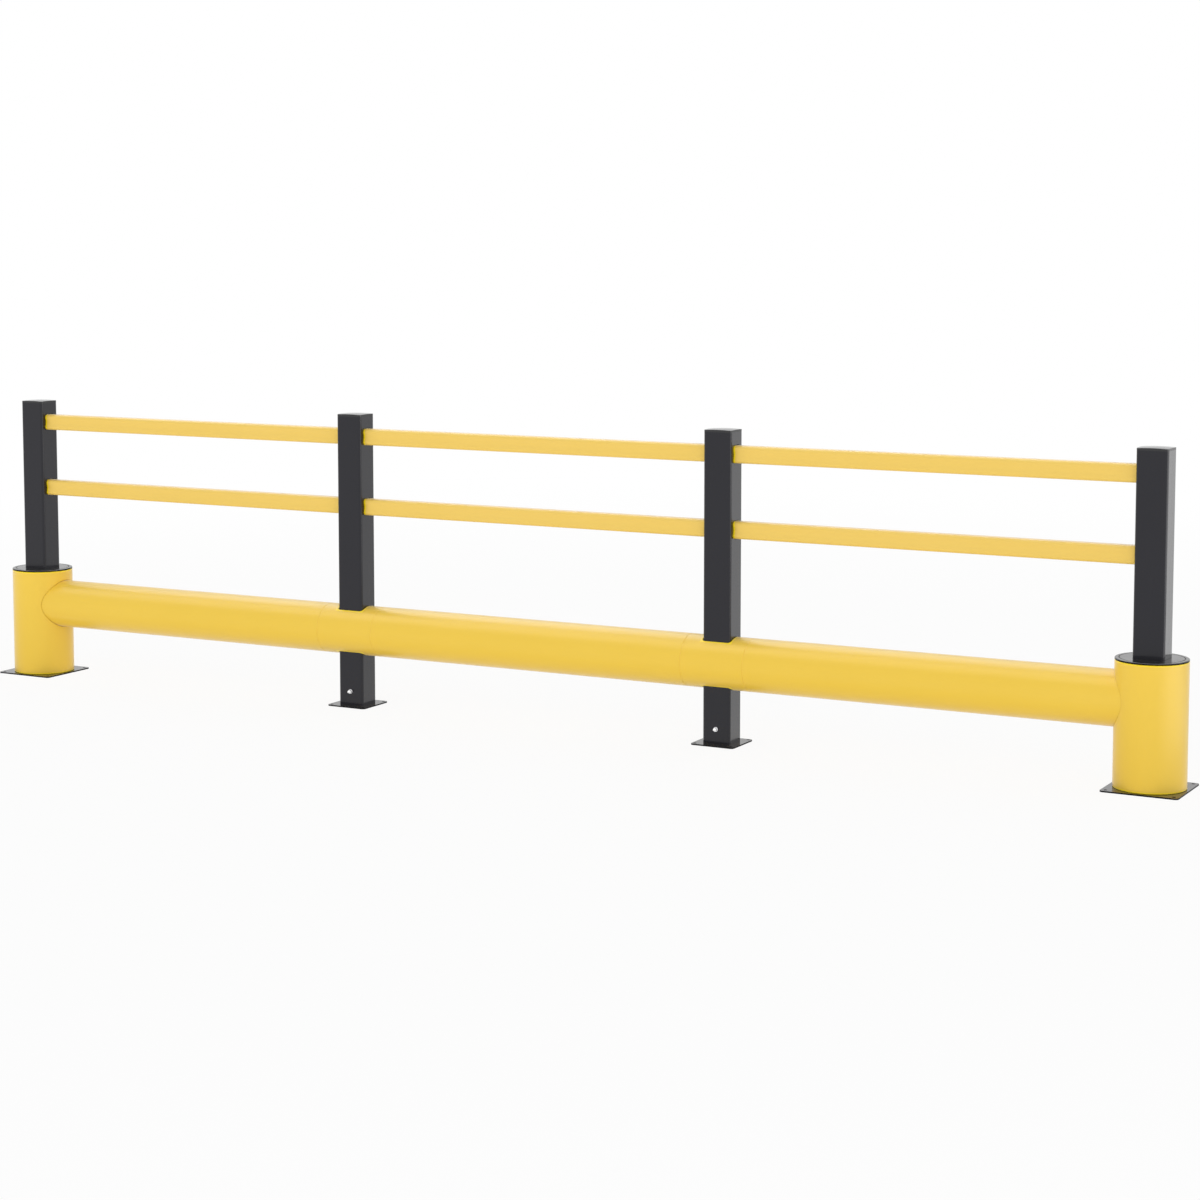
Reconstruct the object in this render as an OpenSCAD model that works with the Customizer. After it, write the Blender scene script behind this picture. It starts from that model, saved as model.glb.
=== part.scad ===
// Flexible impact guardrail for a shop floor, three bays long.
// Four hollow dark posts stand on steel floor plates. Two slim yellow handrails run
// through the upper part of the posts and one wide yellow impact rail runs low down.
// The two end posts stand inside short yellow bollards that take the ends of the impact
// rail. Over the two middle posts the impact rail has a joint piece that the post
// passes down through.
// Millimetres. X runs along the rails, Y points away from the front, Z is up.
// The origin is on the floor, in the middle of the run.

/* [Run] */
// distance between the centres of two neighbouring posts
post_spacing = 1528; // [1200:5:1800]
// height of the corners of the post caps above the floor
guard_h = 1102; // [1000:1:1250]

/* [Posts] */
// width of a post along the run
post_w = 105.5; // [96:0.5:114]
// depth of a post across the run
post_d = 94.5; // [84:0.5:104]
// wall thickness of the post tube
post_wall = 8; // [6:0.5:10]
// outside corner radius of the post tube
post_r = 10; // [6:0.5:12]
// height of the upright edge of a post cap
cap_edge = 7; // [5:0.5:12]
// rise of the domed top of a post cap above its corners
cap_rise = 3; // [1.5:0.5:6]

/* [Handrails] */
// height of the section of both handrails
handrail_h = 61; // [54:1:68]
// depth of that section across the run
handrail_w = 49; // [44:1:58]
// corner radius of that section
handrail_r = 12; // [9:0.5:14]
// how far the front and back faces of the section are hollowed
handrail_dip = 3; // [1.5:0.5:4]
// wall thickness of the handrail tube
handrail_wall = 5; // [3:0.5:7]
// distance from the corners of the post caps down to the axis of the top handrail
top_rail_drop = 84; // [70:1:140]
// distance between the axes of the two handrails
handrail_pitch = 263; // [200:1:340]

/* [Impact rail] */
// outside diameter of the impact rail
rail_d = 187; // [172:1:200]
// wall thickness of the impact rail tube
rail_wall = 10; // [7:0.5:12]
// height of the axis of the impact rail
rail_z = 285.5; // [240:0.5:310]
// length of the joint piece that shows over a middle post
joint_len = 240; // [200:5:320]

/* [Bollards] */
// outside diameter of an end bollard
bollard_d = 237; // [228:1:250]
// wall thickness of the bollard tube
bollard_wall = 10; // [7:0.5:12]
// how far the bollard tube stands above the top of the impact rail
bollard_over = 41; // [30:0.5:120]
// thickness of the bollard lid above the tube
lid_t = 6; // [5:0.5:10]

/* [Floor plates] */
// length of an end plate along the run
end_plate_w = 257; // [250:1:300]
// depth of an end plate across the run
end_plate_d = 257; // [250:1:300]
// length of a middle plate along the run
mid_plate_w = 166; // [156:1:220]
// depth of a middle plate across the run
mid_plate_d = 166; // [156:1:220]
// thickness of all floor plates
plate_t = 5; // [4:0.5:12]
// diameter of the anchor holes in the floor plates
anchor_d = 12; // [8:0.5:14]

/* [Hidden] */
$fn = 96;
// one millimetre beyond a face that a cut goes through
past = 1;
post_count = 4;
rail_r = rail_d / 2;
bollard_r = bollard_d / 2;
post_top = guard_h - cap_edge;
top_rail_z = guard_h - top_rail_drop;
mid_rail_z = top_rail_z - handrail_pitch;
bollard_h = rail_z + rail_r + bollard_over;
// centre of a corner of the handrail's section, and of the arc that hollows its front face
corner_y = handrail_w / 2 - handrail_r;
corner_z = handrail_h / 2 - handrail_r;
dip_reach = (corner_z * corner_z + handrail_dip * handrail_dip) / (2 * handrail_dip);
dip_y = corner_y + dip_reach - handrail_dip;

// clearances
slip = 0.3;
handrail_rim = 2.5;
handrail_rim_depth = 5;
saddle_gap = 1.5;
post_slot_gap = 3;
lid_slot_gap = 0.8;

// hidden lengths of the fits
handrail_reach = 30;
spigot_len = 80;
spigot_wall = 8;
cap_plug = 22;
cap_plug_wall = 4;
lid_plug = 18;
lid_plug_wall = 6;
rail_to_post = 4;

// welded socket that stands on a plate inside the post
socket_h = 130;
socket_wall = 5;

// edges and grooves
seam_bevel = 1.2;
tube_bevel = 2;
lid_edge_r = 2.5;
lid_ring_in = 13;
lid_ring_w = 2;
lid_ring_depth = 1.5;

// anchor holes and corners of the plates
plate_r = 12;
end_anchor_in = 17;
mid_anchor_in = 13;

// bolt through the foot of a middle post
bolt_z = 56;
bolt_r = 4;
bolt_hole_r = 4.5;
bolt_tip = 10;
bolt_head_h = 5.3;
nut_h = 6.5;
nut_across = 13;
washer_r = 8;
washer_t = 1.6;

// place of post i along the run, counted from 1 at the left end
function post_x(i) = (i - (post_count + 1) / 2) * post_spacing;

// rectangle with round corners
module round_rect(w, d, r) {
    square([w - 2 * r, d], center = true);
    square([w, d - 2 * r], center = true);
    for (sx = [-1, 1], sy = [-1, 1])
        translate([sx * (w / 2 - r), sy * (d / 2 - r)])
            circle(r);
}

// outline of the post drawn in or out by an even gap
module post_outline(gap = 0) {
    round_rect(post_w + 2 * gap, post_d + 2 * gap, max(post_r + gap, 1));
}

// section of a handrail drawn in or out by an even gap: round corners, flat top and
// underside, and front and back faces that run smoothly into a shallow hollow
module handrail_outline(gap = 0) {
    corner_r = handrail_r + gap;
    touch_y = corner_y + corner_r * (dip_y - corner_y) / dip_reach;
    touch_z = corner_z - corner_r * corner_z / dip_reach;
    difference() {
        union() {
            square([2 * corner_y, handrail_h + 2 * gap], center = true);
            square([2 * touch_y, 2 * touch_z], center = true);
            for (sy = [-1, 1], sz = [-1, 1])
                translate([sy * corner_y, sz * corner_z])
                    circle(corner_r);
        }
        for (sy = [-1, 1])
            translate([sy * dip_y, 0])
                circle(dip_reach - handrail_r - gap);
    }
}

// outline in the Y and Z plane drawn out along X to both sides
module along_x(len) {
    rotate([90, 0, 90])
        linear_extrude(len, center = true)
            children();
}

// tube along X with both outer end edges bevelled so that two ends meet in a fine groove
module rail_tube(r, wall, len, bevel) {
    rotate([0, 90, 0])
        rotate_extrude()
            polygon([
                [r - wall, -len / 2], [r - bevel, -len / 2], [r, -len / 2 + bevel],
                [r, len / 2 - bevel], [r - bevel, len / 2], [r - wall, len / 2]
            ]);
}

// floor plates

module anchor_holes(w, d, inset) {
    for (sx = [-1, 1], sy = [-1, 1])
        translate([sx * (w / 2 - inset), sy * (d / 2 - inset), -past])
            cylinder(h = plate_t + 2 * past, d = anchor_d);
}

// plate with the rectangular socket that the foot of the post slides over
module floor_plate(w, d, inset) {
    difference() {
        linear_extrude(plate_t)
            round_rect(w, d, plate_r);
        anchor_holes(w, d, inset);
    }
    translate([0, 0, plate_t])
        linear_extrude(socket_h)
            difference() {
                post_outline(-post_wall - slip);
                post_outline(-post_wall - slip - socket_wall);
            }
}

module bolt_passage() {
    translate([0, 0, bolt_z])
        rotate([90, 0, 0])
            cylinder(h = post_d + 2 * past, r = bolt_hole_r, center = true);
}

module end_plate() {
    color([0.13, 0.13, 0.14])
        floor_plate(end_plate_w, end_plate_d, end_anchor_in);
}

module mid_plate() {
    color([0.13, 0.13, 0.14])
        difference() {
            floor_plate(mid_plate_w, mid_plate_d, mid_anchor_in);
            bolt_passage();
        }
}

// posts

// holes that take the handrails, with a wider rim cut into the outer face
module handrail_ports(side) {
    for (z = [top_rail_z, mid_rail_z])
        translate([side * post_w / 2, 0, z]) {
            along_x(2 * (post_wall + past)) handrail_outline(slip);
            along_x(2 * handrail_rim_depth) handrail_outline(handrail_rim);
        }
}

module post_tube() {
    translate([0, 0, plate_t])
        linear_extrude(post_top - plate_t)
            difference() {
                post_outline();
                post_outline(-post_wall);
            }
}

// a post at the end of the run takes handrails on one side only
module end_post(side) {
    color([0.17, 0.17, 0.18])
        difference() {
            post_tube();
            handrail_ports(side);
        }
}

module mid_post() {
    color([0.17, 0.17, 0.18])
        difference() {
            post_tube();
            handrail_ports(-1);
            handrail_ports(1);
            bolt_passage();
        }
}

// cap with a low dome and a hollow plug that fits inside the post
module post_cap() {
    corner_reach = norm([post_w / 2 - post_r, post_d / 2 - post_r]) + post_r;
    dome_r = (corner_reach * corner_reach + cap_rise * cap_rise) / (2 * cap_rise);
    color([0.2, 0.2, 0.21])
        translate([0, 0, post_top]) {
            intersection() {
                linear_extrude(cap_edge + cap_rise)
                    post_outline();
                translate([0, 0, cap_edge + cap_rise - dome_r])
                    sphere(dome_r, $fn = 360);
            }
            translate([0, 0, -cap_plug])
                linear_extrude(cap_plug)
                    difference() {
                        post_outline(-post_wall - slip);
                        post_outline(-post_wall - slip - cap_plug_wall);
                    }
        }
}

// bolt across the run, head at the back, nut and thread end at the front
module foot_bolt() {
    color([0.75, 0.75, 0.76])
        translate([0, 0, bolt_z])
            rotate([90, 0, 0]) {
                translate([0, 0, -post_d / 2 - bolt_head_h])
                    cylinder(h = post_d + bolt_head_h + washer_t + nut_h + bolt_tip, r = bolt_r);
                translate([0, 0, -post_d / 2 - washer_t])
                    cylinder(h = washer_t, r = washer_r);
                translate([0, 0, -post_d / 2 - washer_t - bolt_head_h])
                    cylinder(h = bolt_head_h, r = nut_across / sqrt(3), $fn = 6);
                translate([0, 0, post_d / 2])
                    cylinder(h = washer_t, r = washer_r);
                translate([0, 0, post_d / 2 + washer_t])
                    cylinder(h = nut_h, r = nut_across / sqrt(3), $fn = 6);
            }
}

// impact rail

// straight length between two middle posts
module middle_rail() {
    color([0.93, 0.78, 0.25])
        translate([0, 0, rail_z])
            rail_tube(rail_r, rail_wall, post_spacing - joint_len, seam_bevel);
}

// length from a joint piece into the bollard, stopping short of the post inside it
module end_rail(side) {
    inner_x = post_spacing / 2 + joint_len / 2;
    outer_x = 3 * post_spacing / 2 - post_w / 2 - rail_to_post;
    color([0.93, 0.78, 0.25])
        translate([side * (inner_x + outer_x) / 2, 0, rail_z])
            rail_tube(rail_r, rail_wall, outer_x - inner_x, seam_bevel);
}

// joint piece with a spigot at both ends and a slot that the post passes down through
module rail_joint() {
    spigot_r = rail_r - rail_wall - slip;
    color([0.93, 0.78, 0.25])
        difference() {
            translate([0, 0, rail_z]) {
                rail_tube(rail_r, rail_r - spigot_r + spigot_wall, joint_len, seam_bevel);
                rail_tube(spigot_r, spigot_wall, joint_len + 2 * spigot_len, tube_bevel);
            }
            translate([0, 0, rail_z - rail_d])
                linear_extrude(2 * rail_d)
                    post_outline(post_slot_gap);
        }
}

// handrails

// length between two posts, with both ends inside the hollow of the posts
module handrail(z) {
    color([0.93, 0.78, 0.25])
        translate([0, 0, z])
            along_x(post_spacing - post_w + 2 * handrail_reach)
                difference() {
                    handrail_outline();
                    handrail_outline(-handrail_wall);
                }
}

// end bollards

// tube with a saddle cut in one side that fits round the impact rail
module bollard(side) {
    color([0.93, 0.78, 0.25])
        difference() {
            rotate_extrude()
                polygon([
                    [bollard_r - bollard_wall, plate_t], [bollard_r - tube_bevel, plate_t],
                    [bollard_r, plate_t + tube_bevel], [bollard_r, bollard_h - tube_bevel],
                    [bollard_r - tube_bevel, bollard_h], [bollard_r - bollard_wall, bollard_h]
                ]);
            translate([0, 0, rail_z])
                rotate([0, side * 90, 0])
                    cylinder(h = bollard_r + past, r = rail_r + saddle_gap);
        }
}

// disc with a ring groove in its top and a round slot for the post
module bollard_lid() {
    color([0.16, 0.16, 0.17])
        translate([0, 0, bollard_h])
            difference() {
                rotate_extrude()
                    difference() {
                        union() {
                            square([bollard_r - lid_edge_r, lid_t]);
                            square([bollard_r, lid_t - lid_edge_r]);
                            translate([bollard_r - lid_edge_r, lid_t - lid_edge_r])
                                circle(lid_edge_r);
                            translate([bollard_r - bollard_wall - slip - lid_plug_wall, -lid_plug])
                                square([lid_plug_wall, lid_plug]);
                        }
                        translate([bollard_r - lid_ring_in - lid_ring_w, lid_t - lid_ring_depth])
                            square([lid_ring_w, lid_ring_depth + past]);
                    }
                translate([0, 0, -past])
                    linear_extrude(lid_t + 2 * past)
                        post_outline(lid_slot_gap);
            }
}

translate([post_x(1), 0, 0]) end_plate();  // end_plate_left
translate([post_x(2), 0, 0]) mid_plate();  // mid_plate_left
translate([post_x(3), 0, 0]) mid_plate();  // mid_plate_right
translate([post_x(4), 0, 0]) end_plate();  // end_plate_right
translate([post_x(1), 0, 0]) bollard(1);  // bollard_left
translate([post_x(4), 0, 0]) bollard(-1);  // bollard_right
translate([post_x(1), 0, 0]) bollard_lid();  // bollard_lid_left
translate([post_x(4), 0, 0]) bollard_lid();  // bollard_lid_right
translate([post_x(1), 0, 0]) end_post(1);  // post_1
translate([post_x(2), 0, 0]) mid_post();  // post_2
translate([post_x(3), 0, 0]) mid_post();  // post_3
translate([post_x(4), 0, 0]) end_post(-1);  // post_4
translate([post_x(1), 0, 0]) post_cap();  // post_cap_1
translate([post_x(2), 0, 0]) post_cap();  // post_cap_2
translate([post_x(3), 0, 0]) post_cap();  // post_cap_3
translate([post_x(4), 0, 0]) post_cap();  // post_cap_4
end_rail(-1);  // impact_rail_left
middle_rail();  // impact_rail_middle
end_rail(1);  // impact_rail_right
translate([post_x(2), 0, 0]) rail_joint();  // rail_joint_left
translate([post_x(3), 0, 0]) rail_joint();  // rail_joint_right
translate([-post_spacing, 0, 0]) handrail(top_rail_z);  // top_handrail_left
handrail(top_rail_z);  // top_handrail_middle
translate([post_spacing, 0, 0]) handrail(top_rail_z);  // top_handrail_right
translate([-post_spacing, 0, 0]) handrail(mid_rail_z);  // mid_handrail_left
handrail(mid_rail_z);  // mid_handrail_middle
translate([post_spacing, 0, 0]) handrail(mid_rail_z);  // mid_handrail_right
translate([post_x(2), 0, 0]) foot_bolt();  // foot_bolt_left
translate([post_x(3), 0, 0]) foot_bolt();  // foot_bolt_right
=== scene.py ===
import math

import bpy
from mathutils import Euler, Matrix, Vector


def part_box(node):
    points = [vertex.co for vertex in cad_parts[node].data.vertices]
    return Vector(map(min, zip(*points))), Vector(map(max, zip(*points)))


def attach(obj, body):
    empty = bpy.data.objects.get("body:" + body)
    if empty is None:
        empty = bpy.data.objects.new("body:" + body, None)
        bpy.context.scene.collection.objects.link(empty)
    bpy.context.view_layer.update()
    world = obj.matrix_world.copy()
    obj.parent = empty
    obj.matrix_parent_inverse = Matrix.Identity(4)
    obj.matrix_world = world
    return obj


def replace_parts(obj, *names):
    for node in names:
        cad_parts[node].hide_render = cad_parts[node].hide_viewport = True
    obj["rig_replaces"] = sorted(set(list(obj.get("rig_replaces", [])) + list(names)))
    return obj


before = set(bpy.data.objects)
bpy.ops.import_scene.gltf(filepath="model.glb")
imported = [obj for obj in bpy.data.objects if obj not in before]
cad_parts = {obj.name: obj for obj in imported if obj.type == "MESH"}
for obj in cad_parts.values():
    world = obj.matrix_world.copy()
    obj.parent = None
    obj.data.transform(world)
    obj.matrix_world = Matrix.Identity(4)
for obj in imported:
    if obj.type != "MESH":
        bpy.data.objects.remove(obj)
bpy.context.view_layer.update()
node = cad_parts
bpy.ops.object.select_all(action="DESELECT")


# Floor plates: flat steel with round corners and four anchor holes, cut by laser and
# coated in glossy black powder. A steel socket welded on top stands inside the post.
def new_finish(name):
    finish = bpy.data.materials.new(name)
    finish.use_nodes = True
    nodes = finish.node_tree.nodes
    nodes.clear()
    shader = nodes.new("ShaderNodeBsdfPrincipled")
    output = nodes.new("ShaderNodeOutputMaterial")
    finish.node_tree.links.new(shader.outputs["BSDF"], output.inputs["Surface"])
    return finish, shader


def grain_noise(finish, stretch, scale, detail=3.0, rough=0.5):
    """Noise on the piece's own coordinates, drawn out by stretch along each axis."""
    nodes, links = finish.node_tree.nodes, finish.node_tree.links
    place = nodes.new("ShaderNodeTexCoord")
    mapping = nodes.new("ShaderNodeMapping")
    mapping.inputs["Scale"].default_value = stretch
    noise = nodes.new("ShaderNodeTexNoise")
    noise.inputs["Scale"].default_value = scale
    noise.inputs["Detail"].default_value = detail
    noise.inputs["Roughness"].default_value = rough
    links.new(place.outputs["Object"], mapping.inputs["Vector"])
    links.new(mapping.outputs["Vector"], noise.inputs["Vector"])
    return noise.outputs["Fac"]


def spread(finish, factor, low, high, from_low=0.3, from_high=0.7):
    """Factor stretched to run from low to high."""
    nodes, links = finish.node_tree.nodes, finish.node_tree.links
    span = nodes.new("ShaderNodeMapRange")
    span.inputs["From Min"].default_value = from_low
    span.inputs["From Max"].default_value = from_high
    span.inputs["To Min"].default_value = low
    span.inputs["To Max"].default_value = high
    links.new(factor, span.inputs["Value"])
    return span.outputs["Result"]


def two_tone(finish, factor, dark, light):
    """Colour between dark and light by factor."""
    nodes, links = finish.node_tree.nodes, finish.node_tree.links
    blend = nodes.new("ShaderNodeMix")
    blend.data_type = "RGBA"
    colour_in = {socket.name: socket for socket in blend.inputs if socket.type == "RGBA"}
    for end, colour in (("A", dark), ("B", light)):
        if isinstance(colour, tuple):
            colour_in[end].default_value = (*colour, 1)
        else:
            links.new(colour, colour_in[end])
    links.new(factor, blend.inputs["Factor"])
    return next(socket for socket in blend.outputs if socket.type == "RGBA")


def relief(finish, shader, layers):
    """Chain of bumps, each a height factor with its strength and depth in metres."""
    nodes, links = finish.node_tree.nodes, finish.node_tree.links
    before = None
    for height, strength, depth in layers:
        bump = nodes.new("ShaderNodeBump")
        bump.inputs["Strength"].default_value = strength
        bump.inputs["Distance"].default_value = depth
        links.new(height, bump.inputs["Height"])
        if before is not None:
            links.new(before, bump.inputs["Normal"])
        before = bump.outputs["Normal"]
    links.new(before, shader.inputs["Normal"])


def sums(finish, operation, first, second=0.0):
    """One step of arithmetic on a socket or a number."""
    nodes, links = finish.node_tree.nodes, finish.node_tree.links
    step = nodes.new("ShaderNodeMath")
    step.operation = operation
    for socket, value in zip(step.inputs, (first, second)):
        if isinstance(value, (int, float)):
            socket.default_value = value
        else:
            links.new(value, socket)
    return step.outputs[0]


def place_on_piece(finish):
    """Sockets X, Y and Z with the place of the point being finished, in metres."""
    nodes, links = finish.node_tree.nodes, finish.node_tree.links
    place = nodes.new("ShaderNodeTexCoord")
    split = nodes.new("ShaderNodeSeparateXYZ")
    links.new(place.outputs["Object"], split.inputs["Vector"])
    return split.outputs


def finish_nodes(names, finish):
    for name in names:
        piece = node[name]
        piece.data.materials.clear()
        piece.data.materials.append(finish)


def powder_coat():
    finish, shader = new_finish("glossy_black_powder_coat")
    links = finish.node_tree.links
    cloud = grain_noise(finish, (1, 1, 1), 9)
    peel = grain_noise(finish, (1, 1, 1), 420, detail=1)
    z = place_on_piece(finish)["Z"]
    # The sides below the coated top are painted almost black and dull. This is painted shade that
    # draws a dark line along the plate's edge.
    painted_shade_sides = sums(finish, "LESS_THAN", z, plate_top - coat_t)
    coat = two_tone(finish, cloud, (0.020, 0.018, 0.018), (0.030, 0.027, 0.026))
    links.new(two_tone(finish, painted_shade_sides, coat, (0.004, 0.004, 0.005)), shader.inputs["Base Color"])
    smooth = spread(finish, cloud, 0.08, 0.16)
    links.new(sums(finish, "MAXIMUM", smooth, sums(finish, "MULTIPLY", painted_shade_sides, 0.5)),
              shader.inputs["Roughness"])
    shader.inputs["IOR"].default_value = 1.5
    links.new(sums(finish, "SUBTRACT", 0.5, sums(finish, "MULTIPLY", painted_shade_sides, 0.4)),
              shader.inputs["Specular IOR Level"])
    relief(finish, shader, [(peel, 0.20, 0.0002)])
    return finish


plate_top, coat_t = 0.005, 0.0002
finish_nodes(["end_plate_left", "end_plate_right", "mid_plate_left", "mid_plate_right"],
             powder_coat())


# Posts: extruded tubes of charcoal black polymer with soft corners, satin from the die,
# with faint draw lines up their length. They slide over the sockets of the plates.
def post_polymer():
    finish, shader = new_finish("charcoal_post_polymer")
    links = finish.node_tree.links
    cloud = grain_noise(finish, (1, 1, 1), 5)
    draw = grain_noise(finish, (1, 1, 0.02), 160, detail=2)
    skin = grain_noise(finish, (1, 1, 1), 700, detail=1)
    links.new(two_tone(finish, cloud, (0.0050, 0.0048, 0.0092), (0.0078, 0.0075, 0.0128)),
              shader.inputs["Base Color"])
    links.new(spread(finish, draw, 0.18, 0.26), shader.inputs["Roughness"])
    shader.inputs["IOR"].default_value = 1.3
    shader.inputs["Coat Weight"].default_value = 1
    shader.inputs["Coat IOR"].default_value = 1.3
    shader.inputs["Coat Roughness"].default_value = 0.12
    relief(finish, shader, [(draw, 0.12, 0.0003), (skin, 0.12, 0.0002)])
    return finish


finish_nodes(["post_1", "post_2", "post_3", "post_4"], post_polymer())


# Yellow tubes: extruded polymer coloured right through, satin, with faint draw lines
# along each tube. The rails, their joint pieces and the bollards are all made of it.
def yellow_polymer(name, along, dark, light, painted_highlight_edge=None):
    finish, shader = new_finish(name)
    links = finish.node_tree.links
    stretch = tuple(0.02 if axis == along else 1 for axis in "XYZ")
    cloud = grain_noise(finish, (1, 1, 1), 3)
    draw = grain_noise(finish, stretch, 110, detail=2)
    skin = grain_noise(finish, (1, 1, 1), 600, detail=1)
    colour = two_tone(finish, cloud, dark, light)
    # A brighter, more saturated yellow band is painted along some edges as a painted highlight.
    if painted_highlight_edge:
        colour = two_tone(finish, painted_highlight_edge(finish), colour, painted_highlight_yellow)
    links.new(colour, shader.inputs["Base Color"])
    links.new(spread(finish, draw, 0.31, 0.36), shader.inputs["Roughness"])
    shader.inputs["Sheen Weight"].default_value = 0.35
    shader.inputs["Sheen Roughness"].default_value = 0.35
    relief(finish, shader, [(draw, 0.03, 0.0002), (skin, 0.08, 0.0001)])
    return finish


def near_post_slot(finish):
    """1 within 5 mm of the slots cut in the joint pieces, where a bright line is painted as a
    highlight.
    """
    place = place_on_piece(finish)
    from_centre = sums(finish, "ABSOLUTE", place["X"])
    from_post = sums(finish, "ABSOLUTE", sums(finish, "SUBTRACT", from_centre, joint_x))
    beside = sums(finish, "SUBTRACT", from_post, post_half_width + slot_gap)
    from_middle = sums(finish, "ABSOLUTE", place["Y"])
    before = sums(finish, "SUBTRACT", from_middle, post_half_depth + slot_gap)
    return sums(finish, "LESS_THAN", sums(finish, "MAXIMUM", beside, before), edge_band)


def near_post_port(finish):
    """1 within 5 mm of the posts that the handrails are let into, where a bright line is painted
    as a highlight.
    """
    from_centre = sums(finish, "ABSOLUTE", place_on_piece(finish)["X"])
    from_middle_post = sums(finish, "ABSOLUTE", sums(finish, "SUBTRACT", from_centre, joint_x))
    from_end_post = sums(finish, "ABSOLUTE", sums(finish, "SUBTRACT", from_centre, bollard_x))
    from_post = sums(finish, "MINIMUM", from_middle_post, from_end_post)
    return sums(finish, "LESS_THAN", from_post, post_half_width + edge_band)


def near_rim(finish):
    """1 within 5 mm of the top and the foot of a bollard, where a bright line is painted as a
    highlight.
    """
    z = place_on_piece(finish)["Z"]
    from_middle = sums(finish, "ABSOLUTE", sums(finish, "SUBTRACT", z, (rim_z + foot_z) / 2))
    return sums(finish, "GREATER_THAN", from_middle, (rim_z - foot_z) / 2 - edge_band)


post_low, post_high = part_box("post_3")
joint_x = (post_low[0] + post_high[0]) / 2
bollard_x = joint_x * 3
post_half_width = (post_high[0] - post_low[0]) / 2
post_half_depth = (post_high[1] - post_low[1]) / 2
slot_gap, edge_band = 0.003, 0.005
foot_z, rim_z = (corner[2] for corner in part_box("bollard_right"))
impact_yellow = (0.858, 0.567, 0.042), (0.882, 0.591, 0.053)
# The handrails' yellow is paler than the rails' yellow. The difference is painted glare from the
# white surround.
handrail_yellow_with_painted_glare = (0.826, 0.556, 0.092), (0.850, 0.580, 0.112)
# Brighter, more saturated yellow for the painted highlight along edges.
painted_highlight_yellow = (1.0, 0.730, 0.002)
finish_nodes(["impact_rail_left", "impact_rail_middle", "impact_rail_right"],
             yellow_polymer("yellow_rail_polymer", "X", *impact_yellow))
finish_nodes(["rail_joint_left", "rail_joint_right"],
             yellow_polymer("yellow_joint_polymer", "X", *impact_yellow,
                            painted_highlight_edge=near_post_slot))
finish_nodes(["top_handrail_left", "top_handrail_middle", "top_handrail_right",
              "mid_handrail_left", "mid_handrail_middle", "mid_handrail_right"],
             yellow_polymer("yellow_handrail_polymer", "X", *handrail_yellow_with_painted_glare,
                            painted_highlight_edge=near_post_port))
finish_nodes(["bollard_left", "bollard_right"],
             yellow_polymer("yellow_bollard_polymer", "Z", *impact_yellow,
                            painted_highlight_edge=near_rim))


# Lids and caps: black mouldings pressed into the tops of the bollards and the posts,
# a little smoother than the extruded posts.
def moulded_black(name, smoothest, roughest, painted_shade_part=None):
    finish, shader = new_finish(name)
    links = finish.node_tree.links
    cloud = grain_noise(finish, (1, 1, 1), 8)
    skin = grain_noise(finish, (1, 1, 1), 800, detail=1)
    colour = two_tone(finish, cloud, (0.012, 0.012, 0.013), (0.018, 0.018, 0.020))
    # The lid's ring groove and the side under its rim are painted near black and dull as painted
    # shade.
    if painted_shade_part:
        painted_shade = painted_shade_part(finish)
        colour = two_tone(finish, painted_shade, colour, (0.002, 0.002, 0.003))
        links.new(sums(finish, "SUBTRACT", 0.5, sums(finish, "MULTIPLY", painted_shade, 0.46)),
                  shader.inputs["Specular IOR Level"])
    links.new(colour, shader.inputs["Base Color"])
    links.new(spread(finish, cloud, smoothest, roughest), shader.inputs["Roughness"])
    relief(finish, shader, [(skin, 0.06, 0.0001)])
    return finish


def painted_lid_shade(finish):
    """1 in the ring groove of a lid and on the side under its rounded edge, where shade is
    painted.
    """
    place = place_on_piece(finish)
    y, z = place["Y"], place["Z"]
    beside = sums(finish, "SUBTRACT", sums(finish, "ABSOLUTE", place["X"]), bollard_x)
    square = sums(finish, "ADD", sums(finish, "MULTIPLY", beside, beside),
                  sums(finish, "MULTIPLY", y, y))
    from_axis = sums(finish, "SQRT", square)
    from_groove = sums(finish, "ABSOLUTE", sums(finish, "SUBTRACT", from_axis, groove_r))
    in_groove = sums(finish, "LESS_THAN", from_groove, groove_half_width)
    on_side = sums(finish, "LESS_THAN", z, rim_z + lid_side)
    return sums(finish, "MAXIMUM", in_groove, on_side)


lid_low, lid_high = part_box("bollard_lid_right")
groove_r = (lid_high[0] - lid_low[0]) / 2 - 0.014
groove_half_width, lid_side = 0.002, 0.0035
finish_nodes(["bollard_lid_left", "bollard_lid_right"],
             moulded_black("black_lid_moulding", 0.15, 0.22, painted_shade_part=painted_lid_shade))
finish_nodes(["post_cap_1", "post_cap_2", "post_cap_3", "post_cap_4"],
             moulded_black("black_cap_moulding", 0.07, 0.11))


# Foot bolts: stainless M8 bolts that hold the two middle posts to their sockets. The head
# is at the back and the nut at the front, each on a plain washer, with some thread left over.
def stainless():
    finish, shader = new_finish("stainless_steel")
    links = finish.node_tree.links
    cloud = grain_noise(finish, (1, 1, 1), 90)
    scuffs = grain_noise(finish, (1, 0.1, 1), 1500, detail=2)
    links.new(two_tone(finish, cloud, (0.84, 0.84, 0.85), (0.93, 0.93, 0.93)),
              shader.inputs["Base Color"])
    links.new(spread(finish, scuffs, 0.12, 0.24), shader.inputs["Roughness"])
    shader.inputs["Metallic"].default_value = 1
    relief(finish, shader, [(scuffs, 0.05, 0.00005)])
    return finish


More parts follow.
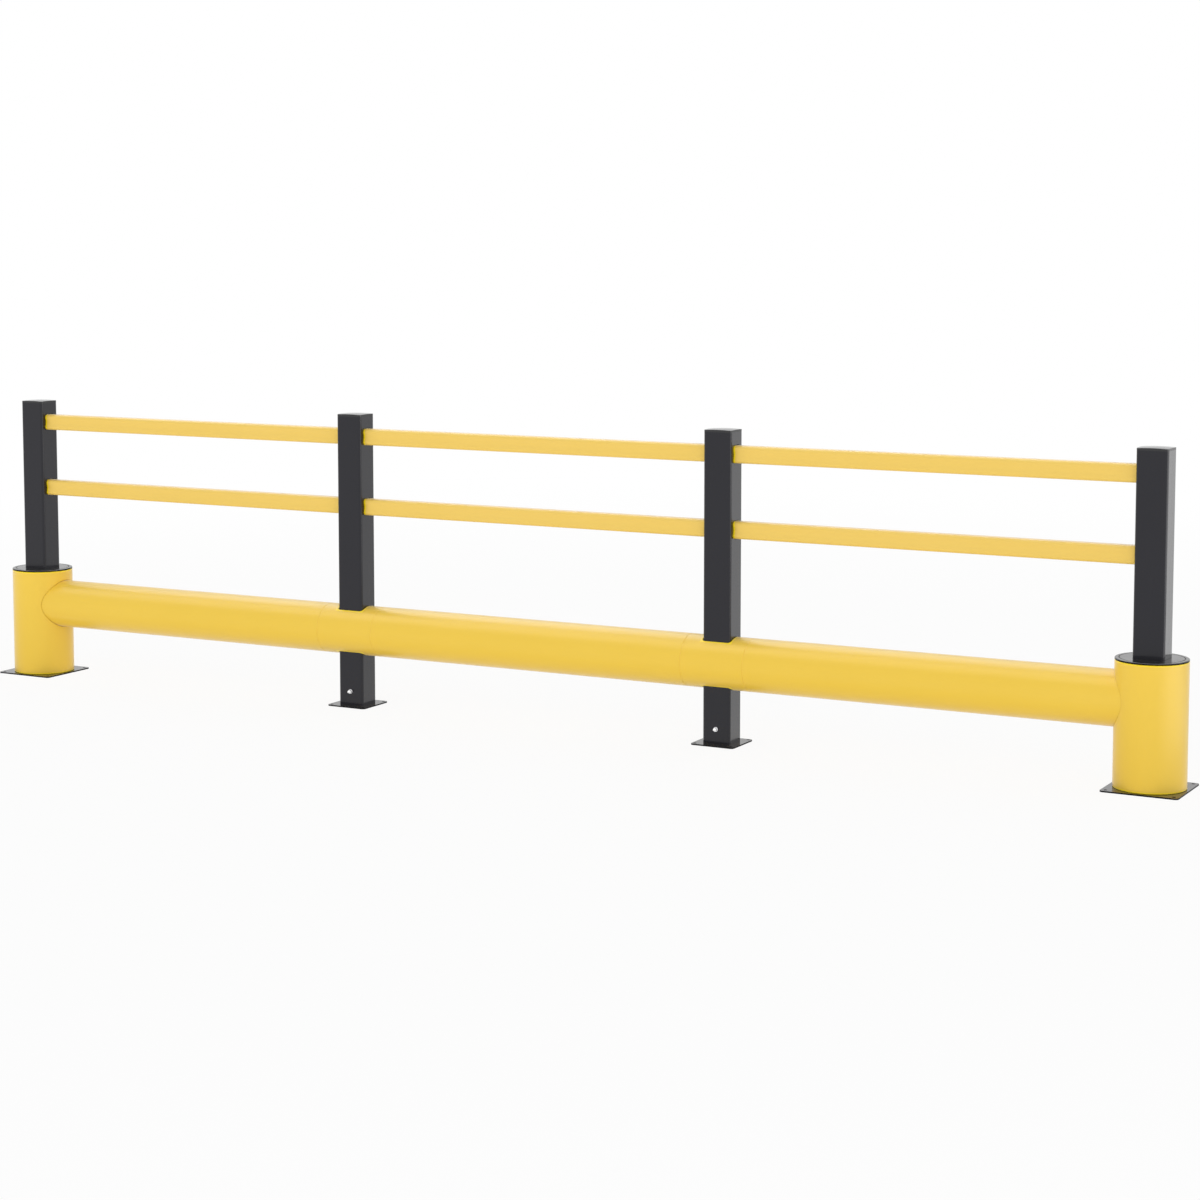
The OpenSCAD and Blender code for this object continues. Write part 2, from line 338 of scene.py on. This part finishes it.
def pick(kind, wanted):
    """Goes to edit mode with only those faces or edges selected that the test wants."""
    bpy.ops.object.mode_set(mode="EDIT")
    bpy.ops.mesh.select_mode(type=kind)
    bpy.ops.mesh.select_all(action="DESELECT")
    bpy.ops.object.mode_set(mode="OBJECT")
    mesh = bpy.context.object.data
    if kind == "FACE":
        for face in mesh.polygons:
            face.select = wanted(face)
    else:
        for edge in mesh.edges:
            edge.select = wanted(*(mesh.vertices[end].co for end in edge.vertices))
    bpy.ops.object.mode_set(mode="EDIT")


def on_rim(radius):
    """Test for the edges that run round an end of a turned piece at this radius."""
    def wanted(first, second):
        level = abs(first.z - second.z) < 1e-6
        return level and all(abs(end.xy.length - radius) < 1e-5 for end in (first, second))
    return wanted


def turned(name, radius, y_from, y_to, sides=64):
    """Bar on the bolt's axis between two places along it."""
    bpy.ops.mesh.primitive_cylinder_add(vertices=sides, radius=radius, depth=abs(y_to - y_from),
                                        location=(bolt_x, (y_from + y_to) / 2, bolt_z),
                                        rotation=(math.pi / 2, 0, 0))
    bar = bpy.context.object
    bar.name = name
    return bar


def turned_ring(name, radius, bore, y_from, y_to, soften):
    """Ring on the bolt's axis, with its outer edges softened."""
    ring = turned(name, radius, y_from, y_to)
    pick("FACE", lambda face: len(face.vertices) > 4)
    bpy.ops.mesh.inset(thickness=radius - bore, use_individual=True)
    bpy.ops.mesh.bridge_edge_loops()
    pick("EDGE", on_rim(radius))
    bpy.ops.mesh.bevel(offset=soften, segments=2, affect="EDGES")
    bpy.ops.object.mode_set(mode="OBJECT")
    return ring


def hexagon_cut(name, blank, y_from, y_to):
    """Hexagon bar cut down to a turned blank, which rounds off its corners."""
    hexagon = turned(name, nut_across / 2 / math.cos(math.pi / 6),
                     y_from - spare, y_to + spare, sides=6)
    trim = hexagon.modifiers.new("trim", "BOOLEAN")
    trim.operation = "INTERSECT"
    trim.solver = "EXACT"
    trim.object = blank
    bpy.ops.object.modifier_apply(modifier="trim")
    bpy.data.objects.remove(blank)
    return hexagon


def foot_bolt(name):
    front_washer = turned_ring("front_washer", washer_r, bore_r,
                               post_front - washer_t, post_front, washer_edge)
    back_washer = turned_ring("back_washer", washer_r, bore_r,
                              post_back, post_back + washer_t, washer_edge)

    blank = turned_ring("nut_blank", corner_r, bore_r,
                        nut_front, post_front - washer_t, chamfer)
    nut = hexagon_cut("nut", blank, nut_front, post_front - washer_t)

    blank = turned("head_blank", corner_r, post_back + washer_t, head_back)
    pick("EDGE", on_rim(corner_r))
    bpy.ops.mesh.bevel(offset=chamfer, segments=1, affect="EDGES")
    bpy.ops.object.mode_set(mode="OBJECT")
    head = hexagon_cut("head", blank, post_back + washer_t, head_back)

    shank = turned("shank", bolt_r, nut_front + shank_in_nut, post_back + washer_t)
    core = turned("thread_core", core_r, bolt_tip, nut_front + core_in_nut)
    pick("EDGE", on_rim(core_r))
    bpy.ops.mesh.bevel(offset=tip_chamfer, segments=1, affect="EDGES")
    bpy.ops.object.mode_set(mode="OBJECT")

    bpy.ops.mesh.primitive_circle_add(vertices=3, radius=ridge, fill_type="NOTHING",
                                      location=(0, 0, bolt_r - ridge),
                                      rotation=(math.pi / 2, 0, math.pi / 2))
    thread = bpy.context.object
    thread.name = "thread"
    bpy.ops.object.transform_apply(location=True, rotation=True, scale=True)
    wind = thread.modifiers.new("wind", "SCREW")
    wind.axis = "Y"
    wind.screw_offset = pitch
    wind.iterations = thread_turns
    wind.steps = wind.render_steps = 24
    bpy.ops.object.modifier_apply(modifier="wind")
    bpy.ops.object.mode_set(mode="EDIT")
    bpy.ops.mesh.select_all(action="SELECT")
    bpy.ops.mesh.fill_holes(sides=3)
    bpy.ops.mesh.normals_make_consistent(inside=False)
    bpy.ops.object.mode_set(mode="OBJECT")
    low_end = min(corner.co.y for corner in thread.data.vertices)
    thread.location = (bolt_x, bolt_tip + thread_start - low_end, bolt_z)

    bpy.ops.object.select_all(action="DESELECT")
    for piece in (front_washer, back_washer, nut, head, shank, core, thread):
        piece.select_set(True)
    bpy.context.view_layer.objects.active = shank
    bpy.ops.object.transform_apply(location=True, rotation=True, scale=True)
    bpy.ops.object.join()
    bpy.ops.object.shade_smooth_by_angle(angle=math.radians(28))
    shank.name = name
    shank.data.materials.clear()
    shank.data.materials.append(steel)
    return shank


bolt_low, bolt_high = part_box("foot_bolt_right")
bolt_x = (bolt_low[0] + bolt_high[0]) / 2
bolt_z = (bolt_low[2] + bolt_high[2]) / 2
bolt_tip, head_back = bolt_low[1], bolt_high[1]
post_front, post_back = post_low[1], post_high[1]
bolt_r, bore_r, core_r, tip_chamfer = 0.0040, 0.00405, 0.0033, 0.0006
nut_across, nut_t, corner_r, chamfer, spare = 0.013, 0.0065, 0.0076, 0.0009, 0.001
washer_r, washer_t, washer_edge = 0.008, 0.0016, 0.0003
nut_front = post_front - washer_t - nut_t
shank_in_nut, core_in_nut = 0.002, 0.003
pitch, ridge, thread_turns, thread_start = 0.00125, 0.0007, 11, 0.0004
steel = stainless()

right_bolt = foot_bolt("foot_bolt_right_fitted")
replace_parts(right_bolt, "foot_bolt_right")
bpy.ops.object.select_all(action="DESELECT")
right_bolt.select_set(True)
bpy.context.view_layer.objects.active = right_bolt
bpy.ops.object.duplicate()
left_bolt = bpy.context.object
left_bolt.name = "foot_bolt_left_fitted"
# The copy still says that it stands for the right bolt, so that is cleared.
left_bolt["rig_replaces"] = []
left_bolt.location.x = -2 * bolt_x
bpy.ops.object.transform_apply(location=True, rotation=True, scale=True)
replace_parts(left_bolt, "foot_bolt_left")
for bolt in (right_bolt, left_bolt):
    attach(bolt, "root")


# Studio: a pale floor that keeps the guard's soft shadow, a white surround and soft light
# from the front, with large panels that show only as gloss on the tubes and the posts.
def sees_white(nodes, links):
    """1 for a ray from the camera, off gloss or through glass, which sees the white studio."""
    ray = nodes.new("ShaderNodeLightPath")
    seen = ray.outputs["Is Camera Ray"]
    for kind in ("Is Glossy Ray", "Is Transmission Ray"):
        either = nodes.new("ShaderNodeMath")
        either.operation = "MAXIMUM"
        links.new(seen, either.inputs[0])
        links.new(ray.outputs[kind], either.inputs[1])
        seen = either.outputs[0]
    return seen


def studio_white(light_from_sides, light_from_above):
    world = bpy.data.worlds.new("studio")
    bpy.context.scene.world = world
    world.use_nodes = True
    nodes, links = world.node_tree.nodes, world.node_tree.links
    nodes.clear()
    white = nodes.new("ShaderNodeBackground")
    white.inputs["Color"].default_value = (1, 1, 1, 1)
    white.inputs["Strength"].default_value = 1
    soft = nodes.new("ShaderNodeBackground")
    soft.inputs["Color"].default_value = (1, 1, 1, 1)
    sky = nodes.new("ShaderNodeTexCoord")
    height = nodes.new("ShaderNodeSeparateXYZ")
    links.new(sky.outputs["Generated"], height.inputs["Vector"])
    fade = nodes.new("ShaderNodeMapRange")
    fade.inputs["To Min"].default_value = light_from_sides
    fade.inputs["To Max"].default_value = light_from_above
    links.new(height.outputs["Z"], fade.inputs["Value"])
    links.new(fade.outputs["Result"], soft.inputs["Strength"])
    mix = nodes.new("ShaderNodeMixShader")
    links.new(sees_white(nodes, links), mix.inputs["Fac"])
    links.new(soft.outputs["Background"], mix.inputs[1])
    links.new(white.outputs["Background"], mix.inputs[2])
    output = nodes.new("ShaderNodeOutputWorld")
    links.new(mix.outputs["Shader"], output.inputs["Surface"])


studio_white(light_from_sides=1.18, light_from_above=0.51)

key_from = (3.9, -8.4, 1.7)
bpy.ops.object.light_add(type="SUN", location=key_from)
key = bpy.context.object
key.name = "soft_key_light"
key.data.energy = 0.40
key.data.angle = math.radians(70)
key.rotation_euler = (-Vector(key_from)).to_track_quat("-Z", "Y").to_euler()

bounce, bounce_width, bounce_depth = 0.50, 9.0, 4.0
bpy.ops.object.light_add(type="AREA", location=(0, -2.6, 0.003))
reflector = bpy.context.object
reflector.name = "floor_reflector"
reflector.data.shape = "RECTANGLE"
reflector.data.size = bounce_width
reflector.data.size_y = bounce_depth
reflector.data.energy = bounce * bounce_width * bounce_depth * math.pi
reflector.rotation_euler = Vector((0, 0, 1)).to_track_quat("-Z", "Y").to_euler()
reflector.visible_glossy = False
reflector.visible_camera = False


def gloss_softbox(name, middle, aim, width, depth, brightness):
    """Panel that shows only as a reflection, brightness times the white surround."""
    bpy.ops.object.light_add(type="AREA", location=middle)
    panel = bpy.context.object
    panel.name = name
    panel.data.shape = "RECTANGLE"
    panel.data.size = width
    panel.data.size_y = depth
    panel.data.energy = brightness * width * depth * math.pi
    panel.rotation_euler = Vector(aim).to_track_quat("-Z", "Y").to_euler()
    panel.visible_diffuse = False
    panel.visible_camera = False


gloss_softbox("overhead_softbox", (0, 1.5, 4.0), (0, 0, -1), 11.0, 7.6, 1.85)
gloss_softbox("zenith_softbox", (0, 1.1, 3.9), (0, 0, -1), 11.0, 2.8, 0.8)
gloss_softbox("side_softbox", (6.5, 0.4, 1.4), (-1, 0, 0), 6.2, 2.8, 1.65)
gloss_softbox("side_floor_softbox", (4.8, -0.1, 0.002), (0, 0, 1), 3.4, 2.2, 1.65)

# Near the guard the floor keeps a tenth of its shadow, and further off it turns white.
glow_near_guard, shadow_to, white_from = 0.9, 3, 9
bpy.ops.mesh.primitive_plane_add(size=60, location=(0, 0, 0))
floor = bpy.context.object
floor.name = "studio_floor"
floor_paint = bpy.data.materials.new("pale_floor")
floor_paint.use_nodes = True
paint_nodes, paint_links = floor_paint.node_tree.nodes, floor_paint.node_tree.links
paint_nodes.clear()
matt = paint_nodes.new("ShaderNodeBsdfDiffuse")
matt.inputs["Color"].default_value = (0.98, 0.98, 0.98, 1)
glow = paint_nodes.new("ShaderNodeEmission")
glow.inputs["Color"].default_value = (1, 1, 1, 1)
glow.inputs["Strength"].default_value = 1
place = paint_nodes.new("ShaderNodeTexCoord")
reach = paint_nodes.new("ShaderNodeVectorMath")
reach.operation = "LENGTH"
paint_links.new(place.outputs["Object"], reach.inputs[0])
fade = paint_nodes.new("ShaderNodeMapRange")
fade.interpolation_type = "SMOOTHSTEP"
fade.inputs["From Min"].default_value = shadow_to
fade.inputs["From Max"].default_value = white_from
fade.inputs["To Min"].default_value = glow_near_guard
fade.inputs["To Max"].default_value = 1
paint_links.new(reach.outputs["Value"], fade.inputs["Value"])
share = paint_nodes.new("ShaderNodeMath")
share.operation = "MULTIPLY"
paint_links.new(fade.outputs["Result"], share.inputs[1])
paint_links.new(sees_white(paint_nodes, paint_links), share.inputs[0])
mix = paint_nodes.new("ShaderNodeMixShader")
paint_links.new(share.outputs[0], mix.inputs["Fac"])
paint_links.new(matt.outputs["BSDF"], mix.inputs[1])
paint_links.new(glow.outputs["Emission"], mix.inputs[2])
paint_out = paint_nodes.new("ShaderNodeOutputMaterial")
paint_links.new(mix.outputs["Shader"], paint_out.inputs["Surface"])
floor.data.materials.append(floor_paint)


# Camera: at eye height beyond the right-hand end of the run, looking back along the
# front. Its place, aim, lens and shift were found from the edges in the photo.
look_down, look_left = math.radians(5.355), math.radians(28.418)
bpy.ops.object.camera_add(location=(4.5850, -7.9574, 1.8074),
                          rotation=Euler((math.pi / 2 - look_down, 0, look_left)))
camera = bpy.context.object
camera.data.sensor_width = 36
camera.data.lens = 76.581
camera.data.shift_y = -0.11323
camera.data.clip_end = 100
bpy.context.scene.camera = camera
bpy.context.scene.view_settings.view_transform = "Standard"
